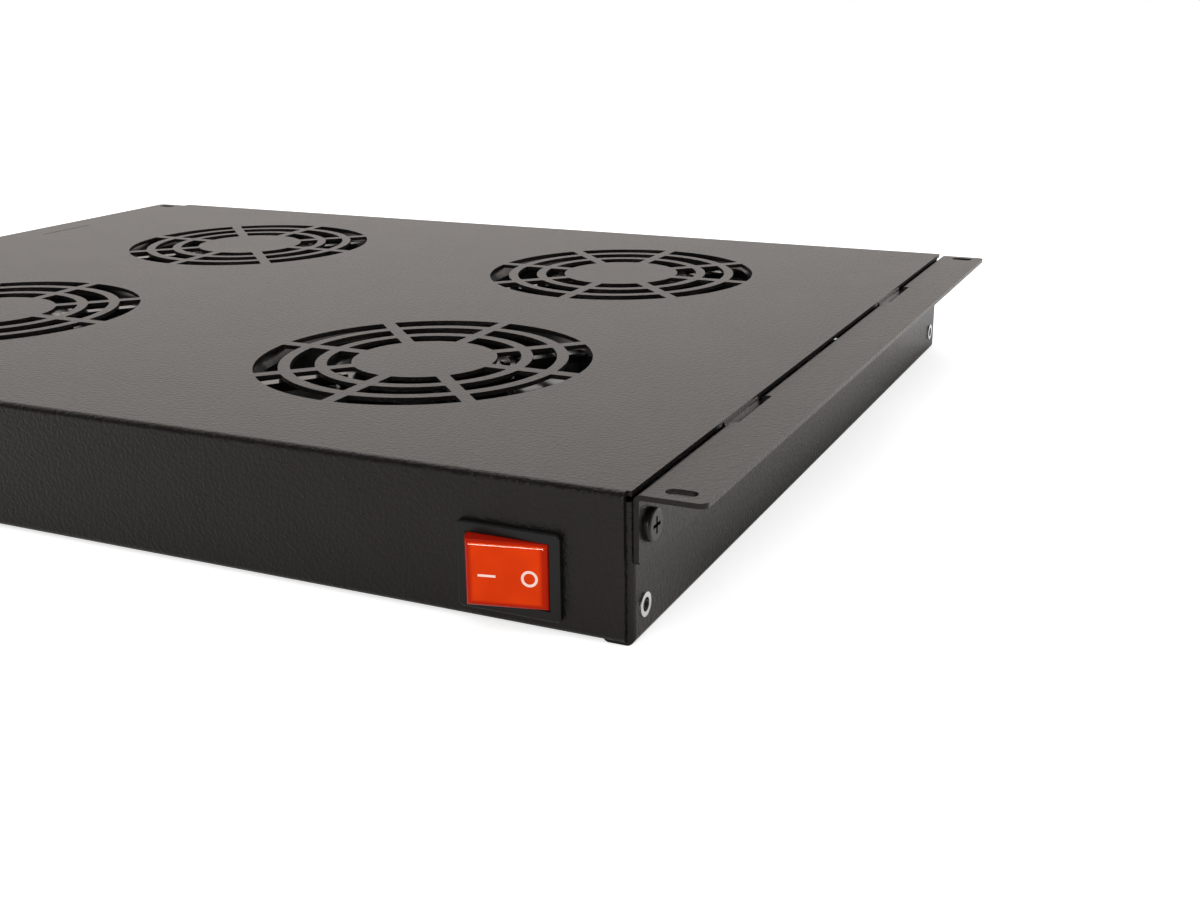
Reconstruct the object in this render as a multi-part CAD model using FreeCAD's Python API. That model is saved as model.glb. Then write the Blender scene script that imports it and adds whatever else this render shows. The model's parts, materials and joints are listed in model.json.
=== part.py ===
import FreeCAD, Part
import math
import os
from FreeCAD import Vector

# Rack fan tray, 19-inch width, one unit high. Millimetres.
# +X to the right, +Y to the back, +Z up. The front with the switch faces -Y.
# Everything is built about the middle of the pan and shifted at the end, so that
# the origin is the bottom centre of the whole object's box.

os.makedirs("parts", exist_ok=True)

# ---------------------------------------------------------------- driving sizes
overall_width = 482.6          # the 19-inch width, over the bracket flanges
depth = 362.5                  # front face to rear face of the pan
height = 43.0                  # underside of the side walls to the top plate
sheet = 1.5                    # pan sheet
bend_inner = 0.5               # inside radius of every fold
apron_lift = 0.8               # the front and rear aprons end this much above the side walls
return_width = 12.0            # inward return along the bottom edges
plate_gap = 0.6                # the top plate ends this far inside the side wall's outer face
wall_short = 9.0               # a side wall ends this far ahead of the pan's rear face
wall_corner = 2.5              # its rounded lower rear corner
front_return = 9.0             # its front end folds in behind the front apron
return_gap = 0.5               # between that fold and the apron's own bottom return
slot_drop = 3.0                # height of the slots along the side folds
bridge_spans = [(69.0, 99.0), (248.0, 280.5)]    # folds left between those slots, from the front

# L-shaped mounting brackets
bracket_sheet = 1.5
bracket_reach = 19.6           # side wall to the flange's outer edge
bracket_leg = 19.5
bracket_drop = 0.7             # the flange's top lies this far below the plate
bracket_end_gap = 1.7
bracket_corner = 2.5
leg_corner = 1.5
notch_reach = 3.4              # notches beside the bridges, from the side wall
notch_slope = 4.3              # run of a notch's sloped front end
notch_lag = 2.5                # a notch sits this much further back than its bridge
notch_depth = 4.0
rack_slot_from_edge = 8.75     # slot centres, in from the flanges' outer edges
rack_slot_inset = 7.5          # slot centres, in from the pan's front and rear faces
rack_slot_length = 8.8
rack_slot_width = 4.8

# insert nuts and bracket screws, M4
m4 = 4.0
thread_clearance = 0.05        # between a screw's surface and its nut, on the radius
insert_inset = 8.8             # from the pan's front face and from the side wall's rear end
insert_upper_drop = 10.9       # below the top plate
insert_lower_drop = 33.7
insert_rim_d = 6.8
insert_rim = 0.5
insert_barrel_d = 5.9
insert_bulge_d = 8.0
insert_bulge = 2.2
insert_length = 9.0
insert_clearance = 0.05
bracket_hole_d = 7.5           # clears the rim of the insert nut
screw_head_d = 9.4
screw_head = 2.0
screw_length = 9.0
recess_span = 4.8
recess_width = 1.0
recess_depth = 1.3

# fans, 120 mm axial, exhausting upwards
fan_side = 119.5
fan_depth = 38.0
fan_corner = 4.0
fan_from_side = 120.4          # fan axis to the side wall's outer face
fan_spacing_y = 165.4
fan_hole_pitch = 105.0
fan_hole_d = 4.4
fan_ear = 4.5                  # thickness of the frame's corner ears
fan_tube_r = 60.6              # outside of the frame's round duct between the ears
fan_tube_wall = 3.4
fan_flare = 4.0                # height of the flares at both ends of the bore
fan_flare_out = 1.6
base_r = 31.0                  # motor base
base_recess = 0.8
base = 3.2
base_rim = 1.6                 # raised rim round the motor base's dish
base_dish = 1.4
strut_count = 4
strut_width = 5.0
strut = 4.0
strut_skew = 14.0              # the struts leave the base off the radial line
tube_r = 6.6                   # bearing tube
bearing_r = 5.0
bearing_width = 4.0
shaft_r = 2.0
shaft_end_gap = 0.5
running_clearance = 0.05
fit_clearance = 0.02
stator_r = 23.0
stator = 13.0
stator_poles = 4
stator_window = 13.0           # width of a winding window
stator_mouth = 2.4             # its mouth at the rim
stator_rim = 4.0               # laminations outside the windows
stator_root = 4.0              # and inside them, round the bearing tube
rotor_r = 28.0
rotor_wall = 2.4
hub_r = 30.5
hub_wall = 2.4
hub_floor = 2.0
hub_corner = 2.0
hub_top_gap = 2.0              # below the struts
hub_bottom_lift = 2.6          # above the frame's lower face
blade_count = 5
blade_tip_gap = 1.2
blade_thickness = 2.0
blade_root_chord = 31.0
blade_tip_chord = 50.0
blade_root_pitch = 44.0
blade_tip_pitch = 27.0
blade_camber = 3.2
boss_r = 4.6
boss = 5.0

# punched grille over each fan
grille_r = 57.8
grille_slot = 8.3
grille_web = 4.0
grille_rings = 3
grille_spokes = 8
grille_spoke = 4.5
grille_slot_corner = 0.7

# wire guard under each fan
guard_wire_d = 1.6
guard_weld = 0.4               # how far the rings sink into the legs at each weld
guard_ring_radii = [16.0, 27.0, 38.0, 49.0]
guard_loop_r = 3.1
guard_legs = 4

# fasteners on the weld studs
washer_r = 4.5
washer = 0.8
nut_flats = 7.0
nut = 3.2
stud_spare = 1.8
guard_head_r = 3.6
guard_head = 1.6
guard_recess = 1.0

# rocker switch, on its side at the front right
switch_from_side = 34.9        # centre, from the side wall's outer face
switch_drop = 26.1             # centre, below the top plate
bezel_x = 31.0
bezel_z = 25.0
bezel = 2.0
bezel_corner = 1.5
window_x = 25.0
window_z = 19.2
housing_x = 28.0
housing_z = 21.8
housing_depth = 22.0
cutout_clearance = 0.3
cavity_depth = 9.6             # behind the rocker's pivot
rocker_gap = 0.2
rocker_face = 5.5              # pivot to the front face
rocker_back = 5.0
rocker_wall = 1.4
rocker_edge = 1.2
rocker_pivot_back = 2.5        # pivot line behind the bezel's face
rocker_tilt = 12.5             # either side of the middle; the O end is pressed
pivot_r = 1.6
pivot = 1.1
blade_terminal = [6.3, 0.8, 8.0]
terminal_pitch_x = 14.0
terminal_pitch_z = 8.0
lamp_r = 1.6
lamp_length = 9.0
lamp_lead_r = 0.35
boot_wall = 1.5
boot_depth = 16.0

# mains inlet at the rear right, behind the switch
inlet_from_side = 59.1
inlet_z = 21.8
inlet_flange = [50.0, 2.4, 23.0]
inlet_flange_corner = 4.0
inlet_body = [27.0, 14.6, 19.6]
inlet_cavity = [24.0, 15.0, 16.4]
inlet_bevel = 4.5              # the cavity's two sloped upper corners
inlet_screw_pitch = 40.0
m3 = 3.0
inlet_screw_head_r = 2.8
inlet_screw_head = 1.6
inlet_nut_flats = 5.5
inlet_nut = 2.4
pin = [2.0, 13.0, 4.0]
pin_pitch = 14.0
pin_offset = 2.0
inlet_boot_depth = 15.0

# terminal block in the middle of the tray
block_length = 50.0
block_width = 17.0
block_height = 14.0
block_ways = 5
block_way_pitch = 10.0
block_well_r = 2.3
block_well = 5.0
block_entry_r = 2.2
block_entry = 6.0
block_screw_r = 1.9
block_screw_drop = 1.5         # below the block's face
block_slit = 0.7
block_slit_depth = 0.9
block_stud_gap = 0.2

# leads
mains_lead_d = 6.4
fan_lead_d = 3.6
earth_lead_d = 2.6
clip_width = 8.0
clip_wall = 1.6
clip_foot = 1.0
clip_sink = 0.5                # the foot runs this far into the loop
clip_z = 18.0
clip_ys = (20.0, -20.0)
earth_tag_r = 4.2
earth_tag = 0.8
earth_neck = 3.4

# ---------------------------------------------------------------- derived places
half_w = overall_width / 2 - bracket_reach
rack_slot_span = overall_width - 2 * rack_slot_from_edge    # 465.1, the 19-inch hole spacing
half_d = depth / 2
bend_outer = bend_inner + sheet
under_plate = height - sheet
wire_r = guard_wire_d / 2
apron_half = half_w - bend_outer
wall_front = -half_d + sheet
wall_rear = half_d - wall_short
insert_ys = (-half_d + insert_inset, wall_rear - insert_inset)
plate_half = half_w - plate_gap
m4_r = m4 / 2
screw_r = m4_r - thread_clearance
fan_x = half_w - fan_from_side
fan_y = fan_spacing_y / 2
fan_low = under_plate - fan_depth
base_top = under_plate - base_recess
strut_low = base_top - strut
tube_low = base_top - base - 2 * bearing_width - stator - 1
fan_bore_r = fan_tube_r - fan_tube_wall
fan_flare_r = fan_bore_r + fan_flare_out
hub_top = strut_low - hub_top_gap
hub_low = fan_low + hub_bottom_lift
bracket_top = height - bracket_drop
bracket_half = half_d - bracket_end_gap
switch_x = half_w - switch_from_side
switch_z = height - switch_drop
inlet_x = half_w - inlet_from_side
fan_places = {
    "front_left": (-fan_x, -fan_y, 8.0),
    "front_right": (fan_x, -fan_y, 25.0),
    "rear_left": (-fan_x, fan_y, 47.0),
    "rear_right": (fan_x, fan_y, 61.0),
}
nodes = {}


# ---------------------------------------------------------------- helpers
def box(x0, x1, y0, y1, z0, z1):
    return Part.makeBox(x1 - x0, y1 - y0, z1 - z0, Vector(x0, y0, z0))


def upright(x, y, z0, z1, r):
    return Part.makeCylinder(r, z1 - z0, Vector(x, y, z0), Vector(0, 0, 1))


def along_x(x0, x1, y, z, r):
    return Part.makeCylinder(r, x1 - x0, Vector(x0, y, z), Vector(1, 0, 0))


def along_y(x, y0, y1, z, r):
    return Part.makeCylinder(r, y1 - y0, Vector(x, y0, z), Vector(0, 1, 0))


def moved(shape, x=0.0, y=0.0, z=0.0):
    copy = shape.copy()
    copy.translate(Vector(x, y, z))
    return copy


def turned(shape, angle, centre=Vector(0, 0, 0), axis=Vector(0, 0, 1)):
    copy = shape.copy()
    copy.rotate(centre, axis, angle)
    return copy


def left_of(shape):
    return shape.mirror(Vector(0, 0, 0), Vector(1, 0, 0))


def fuse(shapes):
    whole = shapes[0]
    if len(shapes) > 1:
        whole = shapes[0].fuse(shapes[1:])
    return whole.removeSplitter()


def rounded(shape, radius, test):
    edges = [edge for edge in shape.Edges if test(edge)]
    return shape.makeFillet(radius, edges)


def runs_along(edge, name):
    # straight edges in that direction only
    run = edge.Vertexes[-1].Point - edge.Vertexes[0].Point
    return abs(getattr(run, name)) > 0.01 and abs(abs(getattr(run, name)) - run.Length) < 0.001


def edge_at(edge, **place):
    points = [vertex.Point for vertex in edge.Vertexes]
    return all(abs(getattr(point, n) - v) < 0.01 for point in points for n, v in place.items())


def revolve(points, centre, axis):
    profile = Part.Face(Part.makePolygon(points + [points[0]]))
    return profile.revolve(centre, axis, 360)


def hexagon(flats, thick, bore_r):
    radius = flats / math.sqrt(3)
    corners = []
    for step in range(7):
        angle = math.radians(60 * step)
        corners.append(Vector(radius * math.cos(angle), radius * math.sin(angle), 0))
    solid = Part.Face(Part.makePolygon(corners)).extrude(Vector(0, 0, thick))
    return solid.cut(upright(0, 0, -1, thick + 1, bore_r))


def ring(outer_r, inner_r, z0, z1):
    return upright(0, 0, z0, z1, outer_r).cut(upright(0, 0, z0 - 1, z1 + 1, inner_r))


def lead(name, points, diameter):
    # straight runs joined by tangent arcs, swept with a round section
    start = points[0]
    edges = []
    radii = []
    for before, corner, after in zip(points, points[1:], points[2:]):
        inward = (corner - before).normalize()
        onward = (after - corner).normalize()
        half_turn = inward.getAngle(onward) / 2
        reach = 0.45 * min(before.distanceToPoint(corner), corner.distanceToPoint(after))
        radius = reach / math.tan(half_turn)
        radii.append(radius)
        arc_start = corner - inward * reach
        arc_end = corner + onward * reach
        bisector = (onward - inward).normalize()
        middle = corner + bisector * (radius / math.cos(half_turn) - radius)
        edges.append(Part.makeLine(start, arc_start))
        edges.append(Part.Arc(arc_start, middle, arc_end).toShape())
        start = arc_end
    edges.append(Part.makeLine(start, points[-1]))
    path = Part.Wire(edges)
    direction = (points[1] - points[0]).normalize()
    section = Part.Wire(Part.makeCircle(diameter / 2, points[0], direction))
    tube = path.makePipeShell([section], True, True)
    expected = math.pi * diameter ** 2 / 4 * path.Length
    print(name, "length", round(path.Length, 1), "volume ratio", round(tube.Volume / expected, 4),
          "radii", [round(radius, 1) for radius in radii])
    return tube


# ---------------------------------------------------------------- pan
def pan_aprons():
    outer = box(-apron_half, apron_half, -half_d, half_d, apron_lift, height)
    outer = rounded(outer, bend_outer, lambda edge: runs_along(edge, "x"))
    inner = box(-half_w, half_w, -half_d + sheet, half_d - sheet, apron_lift + sheet, under_plate)
    inner = rounded(inner, bend_inner, lambda edge: runs_along(edge, "x"))
    mouth_y = half_d - return_width
    mouth = box(-half_w, half_w, -mouth_y, mouth_y, apron_lift - 1, apron_lift + sheet + 1)
    relief_x = half_w - front_return - return_gap
    relief = box(relief_x, half_w, wall_front, -mouth_y + 1, apron_lift - 1, apron_lift + bend_outer)
    return outer.cut([inner, mouth, relief, left_of(relief)])


def pan_side():
    # wall, bottom return and front return of the right-hand side, up to the fold with the plate
    inner_x = half_w - return_width
    outer = box(inner_x, half_w, wall_front, wall_rear, 0, height)
    outer = rounded(outer, bend_outer, lambda edge: runs_along(edge, "y") and edge_at(edge, x=half_w))
    plan = box(inner_x - 1, half_w, wall_front, wall_rear + 1, -1, height + 1)
    plan = rounded(plan, bend_outer, lambda edge: edge_at(edge, x=half_w, y=wall_front))
    outer = outer.common(plan)
    wall_x = half_w - sheet
    inner = box(inner_x - 1, wall_x, wall_front + sheet, wall_rear + 1, sheet, under_plate)
    inner = rounded(inner, bend_inner,
                    lambda edge: edge_at(edge, x=wall_x) and not edge_at(edge, y=wall_rear + 1))
    cuts = [inner]
    slot_low = height - slot_drop
    slot_start = -half_d - 1
    for bridge_start, bridge_end in bridge_spans:
        cuts.append(box(inner_x - 1, half_w + 1, slot_start, bridge_start - half_d, slot_low, height + 1))
        slot_start = bridge_end - half_d
    cuts.append(box(inner_x - 1, half_w + 1, slot_start, half_d + 1, slot_low, height + 1))
    corner_y = half_d - return_width - 1
    for low, high in ((wall_front + sheet, -corner_y), (corner_y, half_d + 1)):
        cuts.append(box(inner_x - 1, wall_x, low, high, -1, bend_outer + apron_lift))
    return_x = half_w - front_return
    cuts.append(box(inner_x - 1, return_x, wall_front - 1, wall_front + sheet + bend_inner, -1, height))
    heel = box(wall_x - 1, half_w + 1, wall_rear - wall_corner, wall_rear + 1, -1, wall_corner)
    cuts.append(heel.cut(along_x(wall_x - 2, half_w + 2, wall_rear - wall_corner, wall_corner, wall_corner)))
    side = outer.cut(cuts)
    return rounded(side, bend_outer, lambda edge: runs_along(edge, "y") and edge_at(edge, x=return_x, z=0))


def grille_cuts(x, y):
    cuts = []
    reach = grille_r + 1
    bars = []
    for step in range(grille_spokes // 2):
        bar = box(-reach, reach, -grille_spoke / 2, grille_spoke / 2, under_plate - 2, height + 2)
        bars.append(turned(bar, 360.0 / grille_spokes * step))
    for step in range(grille_rings):
        outer_r = grille_r - step * (grille_slot + grille_web)
        slots = ring(outer_r, outer_r - grille_slot, under_plate - 1, height + 1).cut(bars)
        slots = rounded(slots, grille_slot_corner, lambda edge: runs_along(edge, "z"))
        cuts.append(moved(slots, x, y))
    return cuts


def insert_heights():
    return {"upper": height - insert_upper_drop, "lower": height - insert_lower_drop}


def top_pan():
    plate = box(-plate_half, plate_half, -half_d + bend_outer, half_d - bend_outer, under_plate, height)
    side = pan_side()
    pan = fuse([pan_aprons(), plate, side, left_of(side)])
    cuts = []
    for x, y, _ in fan_places.values():
        cuts.extend(grille_cuts(x, y))
    hole_r = insert_barrel_d / 2 + insert_clearance
    for level in insert_heights().values():
        for y in insert_ys:
            cuts.append(along_x(-half_w - 1, half_w + 1, y, level, hole_r))
    hole_x = housing_x / 2 + cutout_clearance
    hole_z = housing_z / 2 + cutout_clearance
    cuts.append(box(switch_x - hole_x, switch_x + hole_x, -half_d - 1, -half_d + sheet + 1,
                    switch_z - hole_z, switch_z + hole_z))
    hole_x = inlet_body[0] / 2 + cutout_clearance
    hole_z = inlet_body[2] / 2 + cutout_clearance
    cuts.append(box(inlet_x - hole_x, inlet_x + hole_x, half_d - sheet - 1, half_d + 1,
                    inlet_z - hole_z, inlet_z + hole_z))
    for side_sign in (-1, 1):
        cuts.append(along_y(inlet_x + side_sign * inlet_screw_pitch / 2, half_d - sheet - 1, half_d + 1,
                            inlet_z, m3 / 2 + cutout_clearance / 2))
    return pan.cut(cuts)


# ---------------------------------------------------------------- brackets
def bracket():
    edge_x = half_w + bracket_reach
    low = bracket_top - bracket_leg
    outer = box(half_w, edge_x, -bracket_half, bracket_half, low, bracket_top)
    outer = rounded(outer, bend_inner + bracket_sheet,
                    lambda edge: runs_along(edge, "y") and edge_at(edge, x=half_w, z=bracket_top))
    leg_x = half_w + bracket_sheet
    flange_z = bracket_top - bracket_sheet
    inner = box(leg_x, edge_x + 1, -bracket_half - 1, bracket_half + 1, low - 1, flange_z)
    inner = rounded(inner, bend_inner,
                    lambda edge: runs_along(edge, "y") and edge_at(edge, x=leg_x, z=flange_z))
    shape = outer.cut(inner)
    shape = rounded(shape, bracket_corner, lambda edge: runs_along(edge, "z") and edge_at(edge, x=edge_x))
    shape = rounded(shape, leg_corner, lambda edge: runs_along(edge, "x") and edge_at(edge, z=low))
    cuts = []
    for bridge_start, bridge_end in bridge_spans:
        start = bridge_start + notch_lag - notch_slope - half_d
        end = bridge_end + notch_lag - half_d
        corners = [Vector(half_w - 1, start, 0), Vector(half_w, start, 0)]
        corners.append(Vector(half_w + notch_reach, start + notch_slope, 0))
        corners.append(Vector(half_w + notch_reach, end, 0))
        corners.append(Vector(half_w - 1, end, 0))
        outline = Part.Face(Part.makePolygon(corners + [corners[0]]))
        cuts.append(moved(outline.extrude(Vector(0, 0, notch_depth + 1)), z=bracket_top - notch_depth))
    for end in (-1, 1):
        y = end * (half_d - rack_slot_inset)
        run = (rack_slot_length - rack_slot_width) / 2
        slot_x = rack_slot_span / 2
        radius = rack_slot_width / 2
        cuts.append(box(slot_x - run, slot_x + run, y - radius, y + radius, flange_z - 1, bracket_top + 1))
        cuts.append(upright(slot_x - run, y, flange_z - 1, bracket_top + 1, radius))
        cuts.append(upright(slot_x + run, y, flange_z - 1, bracket_top + 1, radius))
    for y in insert_ys:
        cuts.append(along_x(half_w - 1, leg_x + 1, y, insert_heights()["upper"], bracket_hole_d / 2))
    for cut in cuts:
        shape = shape.cut(cut)
    return shape


def insert_nut():
    # rim outside the wall, bulge behind it, plain bore at the thread's nominal size
    profile = [
        Vector(insert_rim, m4_r, 0),
        Vector(insert_rim, insert_rim_d / 2, 0),
        Vector(0, insert_rim_d / 2, 0),
        Vector(0, insert_barrel_d / 2, 0),
        Vector(-sheet, insert_barrel_d / 2, 0),
        Vector(-sheet, insert_bulge_d / 2, 0),
        Vector(-sheet - insert_bulge, insert_barrel_d / 2, 0),
        Vector(-insert_length, insert_barrel_d / 2, 0),
        Vector(-insert_length, m4_r, 0),
    ]
    return revolve(profile, Vector(0, 0, 0), Vector(1, 0, 0))


def cross_recess(depth_at, deep=recess_depth):
    arm = box(depth_at - deep, depth_at + 1, -recess_span / 2, recess_span / 2,
              -recess_width / 2, recess_width / 2)
    return arm.fuse(turned(arm, 90, axis=Vector(1, 0, 0)))


def pan_head_screw(head_r, head, shank_r, length):
    # along +X, the head's underside at x = 0
    body = fuse([along_x(0, head, 0, 0, head_r), along_x(-length, 0, 0, 0, shank_r)])
    dome = head * 0.45
    body = rounded(body, dome, lambda edge: edge_at(edge, x=head))
    return body.cut(cross_recess(head))


def at_insert_places(shape, level):
    places = []
    for y in insert_ys:
        right = moved(shape, half_w, y, level)
        places.append(right)
        places.append(left_of(right))
    return Part.makeCompound(places)


# ---------------------------------------------------------------- fans
def fan_frame():
    half = fan_side / 2
    body = box(-half, half, -half, half, fan_low, under_plate)
    body = rounded(body, fan_corner, lambda edge: runs_along(edge, "z"))
    pocket = box(-half - 1, half + 1, -half - 1, half + 1, fan_low + fan_ear, under_plate - fan_ear)
    pocket = pocket.cut(upright(0, 0, fan_low, under_plate, fan_tube_r))
    bore = upright(0, 0, fan_low - 1, under_plate + 1, fan_bore_r)
    low_flare = Part.makeCone(fan_flare_r, fan_bore_r, fan_flare, Vector(0, 0, fan_low))
    top_flare = Part.makeCone(fan_bore_r, fan_flare_r, fan_flare, Vector(0, 0, under_plate - fan_flare))
    holes = []
    for x in (-fan_hole_pitch / 2, fan_hole_pitch / 2):
        for y in (-fan_hole_pitch / 2, fan_hole_pitch / 2):
            holes.append(upright(x, y, fan_low - 1, under_plate + 1, fan_hole_d / 2))
    body = body.cut([pocket, bore, low_flare, top_flare] + holes)
    dish = upright(0, 0, base_top - base_dish, base_top + 1, base_r - base_rim)
    centre = upright(0, 0, base_top - base, base_top, base_r).cut(dish)
    tube = upright(0, 0, tube_low, base_top - base, tube_r)
    struts = []
    reach = fan_bore_r + 1.2
    for step in range(strut_count):
        arm = box(base_r - 4, reach, -strut_width / 2, strut_width / 2, strut_low, base_top - base_rim / 2)
        arm = turned(arm, strut_skew, Vector(base_r - 4, 0, 0))
        struts.append(turned(arm, 360.0 / strut_count * step + 360.0 / strut_count / 2 - strut_skew / 2))
    clip = upright(0, 0, fan_low, under_plate, fan_tube_r - 1)
    struts = [arm.common(clip) for arm in struts]
    whole = fuse([body, centre, tube] + struts)
    seats = upright(0, 0, tube_low - 1, base_top - base - 1, bearing_r + fit_clearance)
    return whole.cut(seats)


def bearing_levels():
    return (tube_low, base_top - base - 1 - bearing_width)


def fan_bearings():
    solids = []
    for level in bearing_levels():
        solids.append(ring(bearing_r, shaft_r + running_clearance, level, level + bearing_width))
    return Part.makeCompound(solids)


def fan_stator():
    top = base_top - base - bearing_width / 2
    core = ring(stator_r, tube_r + running_clearance, top - stator, top)
    cuts = []
    inner = tube_r + stator_root
    for step in range(stator_poles):
        gap = box(inner + 1, stator_r + 1, -stator_mouth / 2, stator_mouth / 2, top - stator - 1, top + 1)
        window = box(inner, stator_r - stator_rim, -stator_window / 2, stator_window / 2,
                     top - stator - 1, top + 1)
        cuts.append(turned(fuse([gap, window]), 360.0 / stator_poles * step))
    return core.cut(cuts)


def fan_rotor():
    # flux ring pressed into the hub
    return ring(rotor_r, rotor_r - rotor_wall, hub_low + hub_floor + 2, hub_top - 1)


def blade_section(x, chord, pitch):
    half = chord / 2
    lean = math.radians(pitch)
    middle_z = (hub_low + hub_top) / 2
    side = Vector(0, math.cos(lean), math.sin(lean))
    out = Vector(0, -math.sin(lean), math.cos(lean))
    centre = Vector(x, 0, middle_z)
    nose = centre - side * half
    tail = centre + side * half
    upper = Part.Arc(nose, centre + out * (blade_camber + blade_thickness / 2), tail).toShape()
    lower = Part.Arc(tail, centre + out * (blade_camber - blade_thickness / 2), nose).toShape()
    return Part.Wire([upper, lower])


def impeller():
    root = blade_section(hub_r - 9, blade_root_chord - 4, blade_root_pitch)
    tip = blade_section(fan_bore_r + 3, blade_tip_chord, blade_tip_pitch)
    blade = Part.makeLoft([root, tip], True, True)
    tip_r = fan_bore_r - blade_tip_gap
    span = ring(tip_r, hub_r - hub_wall / 2, hub_low + 0.5, hub_top - 0.5)
    blade = blade.common(span)
    hub = upright(0, 0, hub_low, hub_top, hub_r)
    hub = rounded(hub, hub_corner, lambda edge: edge_at(edge, z=hub_low))
    hub = hub.cut(upright(0, 0, hub_low + hub_floor, hub_top + 1, rotor_r + fit_clearance))
    parts = [hub, upright(0, 0, hub_low + hub_floor, hub_low + hub_floor + boss, boss_r)]
    for step in range(blade_count):
        parts.append(turned(blade, 360.0 / blade_count * step))
    whole = fuse(parts)
    return whole.cut(upright(0, 0, hub_low + hub_floor / 2, hub_top, shaft_r + fit_clearance))


def fan_shaft():
    top = bearing_levels()[1] + bearing_width - shaft_end_gap
    return upright(0, 0, hub_low + hub_floor / 2, top, shaft_r)


def wire_section(x, z):
    # six-sided wire, flat above and below, in the XZ plane
    corners = []
    for step in range(7):
        angle = math.radians(-60 * step)
        corners.append(Vector(x + wire_r * math.cos(angle), 0, z + wire_r * math.sin(angle)))
    return Part.Face(Part.makePolygon(corners))


def wire_guard():
    # legs from the screw loops inwards, with the rings welded on top of them
    leg_z = fan_low - wire_r
    ring_z = leg_z + 2 * wire_r - guard_weld
    corner = fan_hole_pitch / 2 * math.sqrt(2)
    leg_start = guard_ring_radii[0] - guard_wire_d
    leg = wire_section(0, leg_z).extrude(Vector(0, corner - guard_loop_r - leg_start, 0))
    leg = turned(moved(leg, y=leg_start), -90)
    loop = moved(ring(guard_loop_r + wire_r, guard_loop_r - wire_r, leg_z - wire_r, leg_z + wire_r), corner)
    arm = leg.fuse(loop)
    parts = [turned(arm, 45 + 360.0 / guard_legs * step) for step in range(guard_legs)]
    for radius in guard_ring_radii:
        parts.append(wire_section(radius, ring_z).revolve(Vector(0, 0, 0), Vector(0, 0, 1), 360))
    return fuse(parts)


def at_fan_holes(shape):
    solids = []
    for x, y, _ in fan_places.values():
        for dx in (-fan_hole_pitch / 2, fan_hole_pitch / 2):
            for dy in (-fan_hole_pitch / 2, fan_hole_pitch / 2):
                solids.append(moved(shape, x + dx, y + dy))
    return solids


def block_studs():
    reach = block_way_pitch * block_ways / 2 - block_way_pitch
    return [(0.0, -reach), (0.0, reach)]


inlet_boot_y = half_d - inlet_body[1] - inlet_boot_depth
earth_place = (inlet_x + 25.0, inlet_boot_y - 49.0)


def weld_studs():
    fan_stud = fan_ear + washer + nut + stud_spare
    solids = at_fan_holes(upright(0, 0, under_plate - fan_stud, under_plate, screw_r))
    block_stud = block_height + washer + nut + stud_spare
    for x, y in block_studs():
        solids.append(upright(x, y, under_plate - block_stud, under_plate, screw_r))
    earth_stud = earth_tag + washer + nut + stud_spare
    solids.append(upright(*earth_place, under_plate - earth_stud, under_plate, screw_r))
    return Part.makeCompound(solids)


def on_studs(shape, thick, above):
    # the same piece on every stud: under the fan ears, the block and the earth tag
    solids = at_fan_holes(moved(shape, z=under_plate - fan_ear - above - thick))
    for x, y in block_studs():
        solids.append(moved(shape, x, y, under_plate - block_height - above - thick))
    solids.append(moved(shape, *earth_place, under_plate - earth_tag - above - thick))
    return Part.makeCompound(solids)


def guard_screws():
    # low heads with a chamfered edge and a cross recess, pointing up through the guard's loops
    seat = fan_low - guard_wire_d
    length = guard_wire_d + fan_ear + nut + stud_spare
    low = Vector(0, 0, seat - guard_head)
    head = Part.makeCone(guard_head_r - guard_head / 2, guard_head_r, guard_head, low)
    shank = upright(0, 0, seat, seat + length, screw_r)
    recess = turned(cross_recess(guard_head, guard_recess), 90, axis=Vector(0, 1, 0))
    screw = head.fuse(shank).cut(moved(recess, z=seat))
    return Part.makeCompound(at_fan_holes(screw))


# ---------------------------------------------------------------- switch
def switch_frame(shape):
    # from the switch's own frame (pivot line at x = y = 0, front towards -Y) to its place
    return moved(shape, switch_x, -half_d - bezel + rocker_pivot_back, switch_z)


def switch_housing():
    face_y = -rocker_pivot_back
    back_y = face_y + bezel
    rim = box(-bezel_x / 2, bezel_x / 2, face_y, back_y, -bezel_z / 2, bezel_z / 2)
    rim = rounded(rim, bezel_corner, lambda edge: runs_along(edge, "y"))
    rim = rounded(rim, 0.6, lambda edge: all(abs(v.Point.y - face_y) < 0.01 for v in edge.Vertexes))
    body = box(-housing_x / 2, housing_x / 2, back_y, back_y + housing_depth, -housing_z / 2, housing_z / 2)
    body = rounded(body, 1.0, lambda edge: runs_along(edge, "y"))
    whole = fuse([rim, body])
    cavity = box(-window_x / 2, window_x / 2, face_y - 1, cavity_depth, -window_z / 2, window_z / 2)
    holes = upright(0, 0, -window_z / 2 - pivot, window_z / 2 + pivot, pivot_r + running_clearance)
    return switch_frame(whole.cut([cavity, holes]))


def rocker_outline(radius, front, back):
    # ends rounded about the pivot, so that the gap to the window stays the same
    front_x = math.sqrt(radius ** 2 - front ** 2)
    back_x = math.sqrt(radius ** 2 - back ** 2)
    right = Part.Arc(Vector(front_x, -front, 0), Vector(radius, 0, 0), Vector(back_x, back, 0)).toShape()
    rear = Part.makeLine(Vector(back_x, back, 0), Vector(-back_x, back, 0))
    left = Part.Arc(Vector(-back_x, back, 0), Vector(-radius, 0, 0), Vector(-front_x, -front, 0)).toShape()
    face = Part.makeLine(Vector(-front_x, -front, 0), Vector(front_x, -front, 0))
    return Part.Face(Part.Wire([right, rear, left, face]))


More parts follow.
